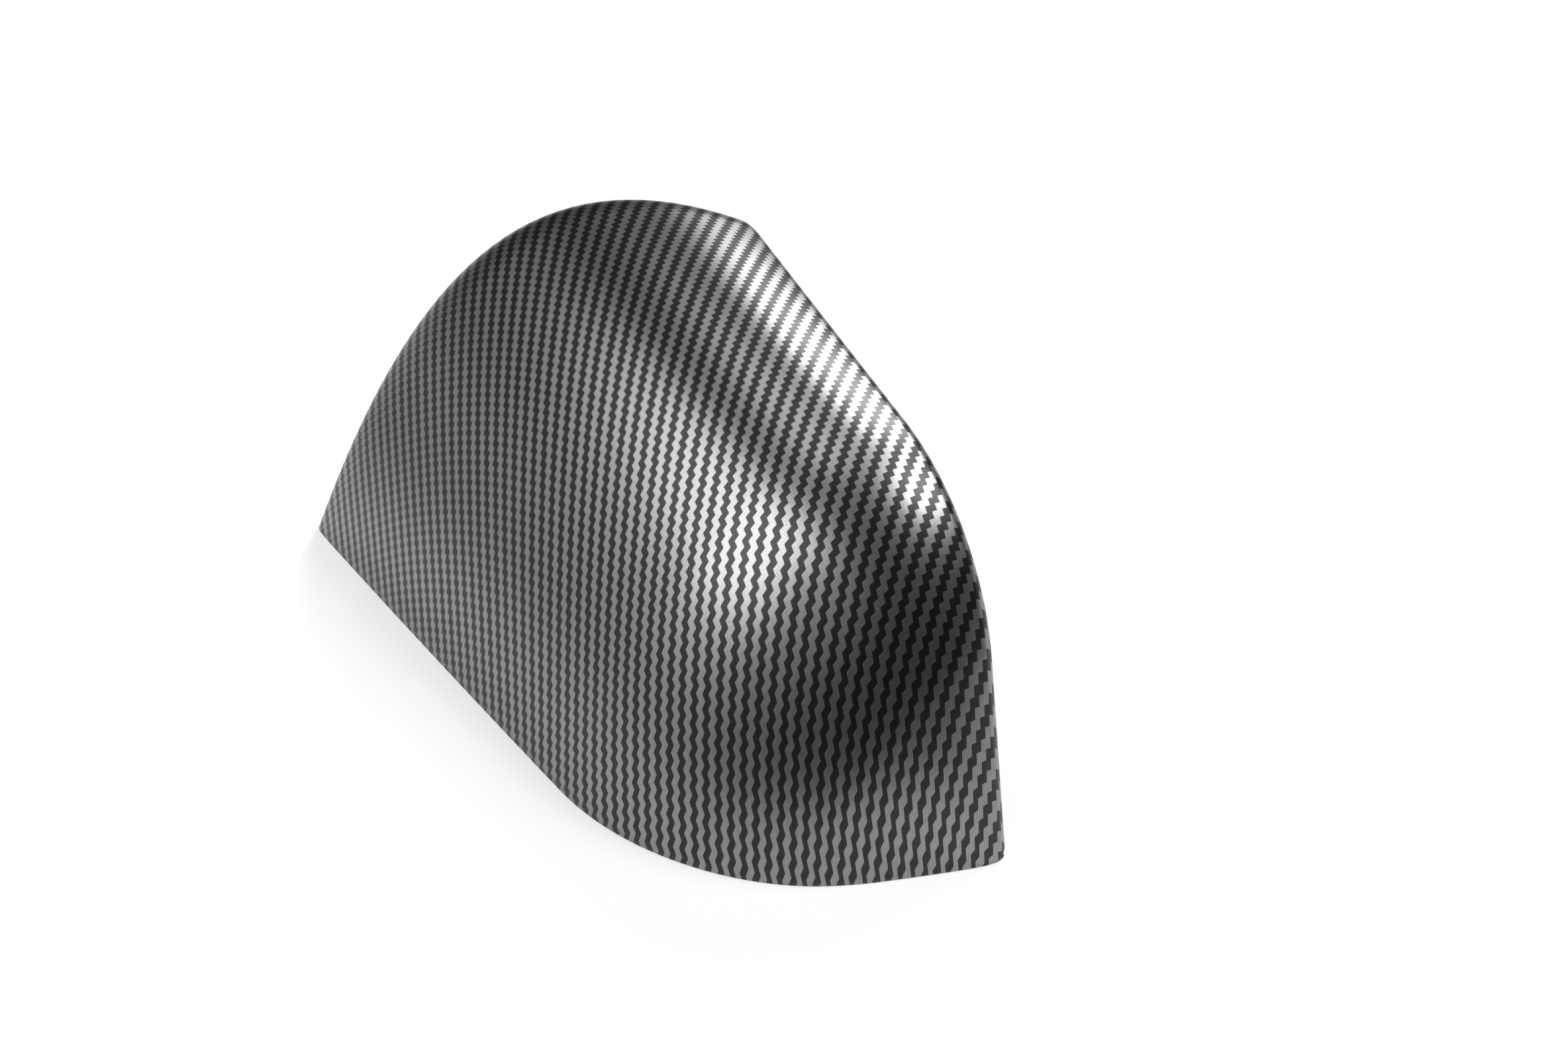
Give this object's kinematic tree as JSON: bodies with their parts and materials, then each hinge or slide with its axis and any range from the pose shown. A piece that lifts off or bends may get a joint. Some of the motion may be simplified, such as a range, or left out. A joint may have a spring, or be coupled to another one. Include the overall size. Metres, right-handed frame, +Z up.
{
  "type": "wing mirror cover",
  "caption": "Stick-on wing mirror cover: a thin domed shell with a rounded crease, narrow return lip and flat-cut lower edge, held by adhesive tape strips inside.",
  "frame": {"origin": "centre of the part's box at the level of its cut lower edge", "axes": "+Z up from the cut edge, +Y towards the rear, square to the plane of the rim and lip, +X towards the outboard tip"},
  "size_m": [0.2311, 0.1305, 0.1203],
  "materials": {
    "printed_shell": "satin clear coat over a silver and black twill print, plain black inside",
    "tape_film": "dark red release film on foam tape"
  },
  "bodies": {
    "root": {"cover_shell": "printed_shell", "tape_inboard": "tape_film", "tape_front": "tape_film", "tape_outboard": "tape_film", "tape_top": "tape_film"}
  },
  "joints": []
}
